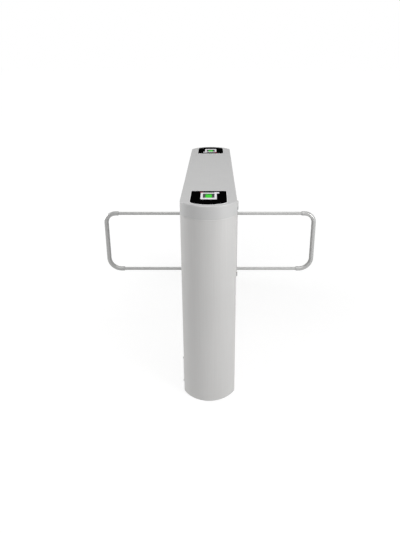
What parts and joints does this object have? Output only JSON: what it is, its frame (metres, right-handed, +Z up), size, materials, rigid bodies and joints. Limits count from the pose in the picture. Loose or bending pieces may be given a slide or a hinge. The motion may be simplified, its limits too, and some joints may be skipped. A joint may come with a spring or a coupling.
{
  "type": "swing turnstile",
  "caption": "Long upright turnstile pedestal with curved ends and a powered tube wing that swings on each long side.",
  "frame": {"origin": "centre of the foot, on the floor", "axes": "+X across the pedestal towards the right wing, +Y along the pedestal, +Z up"},
  "size_m": [1.203, 1.2, 1.0029],
  "materials": {
    "shell_steel": "satin",
    "lid_steel": "satin",
    "wing_steel": "satin",
    "foot_steel": "zinc grey",
    "cover_steel": "satin",
    "frame_steel": "zinc grey",
    "tray_steel": "mill finish",
    "bracket_metal": "grey coat",
    "cap_steel": "satin",
    "bush_bronze": "satin",
    "bolt_steel": "satin",
    "gearbox_alloy": "cast",
    "motor_paint": "satin",
    "gear_steel": "machined",
    "arm_paint": "satin",
    "soft_rubber": "matte",
    "seal_grey": "matte",
    "dark_plastic": "matte",
    "lens_plastic": "gloss",
    "board_green": "satin",
    "supply_case": "satin",
    "panel_black": "high gloss",
    "edge_light": "satin",
    "bezel_grey": "satin",
    "window_green": "lit",
    "lamp_red": "lit",
    "lock_chrome": "polished"
  },
  "bodies": {
    "housing": {"base_plate": "foot_steel", "body_shell": "shell_steel", "access_covers": "cover_steel", "top_ring": "frame_steel", "lid_seal": "seal_grey", "chassis": "frame_steel", "front_tray": "tray_steel", "rear_tray": "tray_steel", "power_supply": "supply_case", "control_board": "board_green", "board_parts": "dark_plastic", "left_upper_bracket": "bracket_metal", "right_upper_bracket": "bracket_metal", "left_lower_bracket": "bracket_metal", "right_lower_bracket": "bracket_metal", "left_gear_cover": "cap_steel", "right_gear_cover": "cap_steel", "pivot_bushes": "bush_bronze", "bracket_bolts": "bolt_steel", "left_gearbox": "gearbox_alloy", "right_gearbox": "gearbox_alloy", "left_motor": "motor_paint", "right_motor": "motor_paint", "gearbox_screws": "bolt_steel", "case_screws": "bolt_steel", "lock_catches": "frame_steel", "stop_buffers": "soft_rubber", "position_sensors": "dark_plastic", "sensor_lenses": "lens_plastic"},
    "left_wing": {"left_post": "wing_steel", "left_upper_rail": "wing_steel", "left_lower_rail": "wing_steel", "left_bow": "wing_steel", "left_post_gear": "gear_steel", "left_grub_screws": "bolt_steel"},
    "left_drive": {"left_drive_gear": "gear_steel", "left_drive_shaft": "gear_steel", "left_stop_arm": "arm_paint", "left_encoder_disc": "dark_plastic"},
    "right_wing": {"right_post": "wing_steel", "right_upper_rail": "wing_steel", "right_lower_rail": "wing_steel", "right_bow": "wing_steel", "right_post_gear": "gear_steel", "right_grub_screws": "bolt_steel"},
    "right_drive": {"right_drive_gear": "gear_steel", "right_drive_shaft": "gear_steel", "right_stop_arm": "arm_paint", "right_encoder_disc": "dark_plastic"},
    "lid": {"lid_shell": "lid_steel", "front_panel": "panel_black", "rear_panel": "panel_black", "panel_edges": "edge_light", "reader_bezels": "bezel_grey", "signal_windows": "window_green", "status_lamps": "lamp_red", "card_readers": "dark_plastic", "lock_housings": "lock_chrome"},
    "front_lock": {"front_lock_cam": "lock_chrome"},
    "rear_lock": {"rear_lock_cam": "lock_chrome"}
  },
  "joints": [
    {"name": "left_wing_swing", "type": "hinge", "parent": "housing", "child": "left_wing", "pos_m": [-0.141, 0, 0.57], "axis": [0, 0, 1], "range_deg": [-90, 90]},
    {"name": "left_drive_turn", "type": "hinge", "parent": "housing", "child": "left_drive", "pos_m": [-0.078, 0, 0.799], "axis": [0, 0, 1], "range_deg": [-28.13, 28.13]},
    {"name": "right_wing_swing", "type": "hinge", "parent": "housing", "child": "right_wing", "pos_m": [0.141, 0, 0.57], "axis": [0, 0, 1], "range_deg": [-90, 90]},
    {"name": "right_drive_turn", "type": "hinge", "parent": "housing", "child": "right_drive", "pos_m": [0.078, 0, 0.799], "axis": [0, 0, 1], "range_deg": [-28.13, 28.13]},
    {"name": "lid_lift", "type": "slide", "parent": "housing", "child": "lid", "axis": [0, 0, 1], "range_m": [0, 0.08]},
    {"name": "front_lock_turn", "type": "hinge", "parent": "lid", "child": "front_lock", "pos_m": [0.11, -0.3, 0.966], "axis": [1, 0, 0], "range_deg": [0, 90]},
    {"name": "rear_lock_turn", "type": "hinge", "parent": "lid", "child": "rear_lock", "pos_m": [0.11, 0.3, 0.966], "axis": [1, 0, 0], "range_deg": [0, 90]}
  ],
  "couplings": [
    {"joint": "left_drive_turn", "follows": "left_wing_swing", "ratio": -0.3125},
    {"joint": "right_drive_turn", "follows": "right_wing_swing", "ratio": -0.3125}
  ]
}
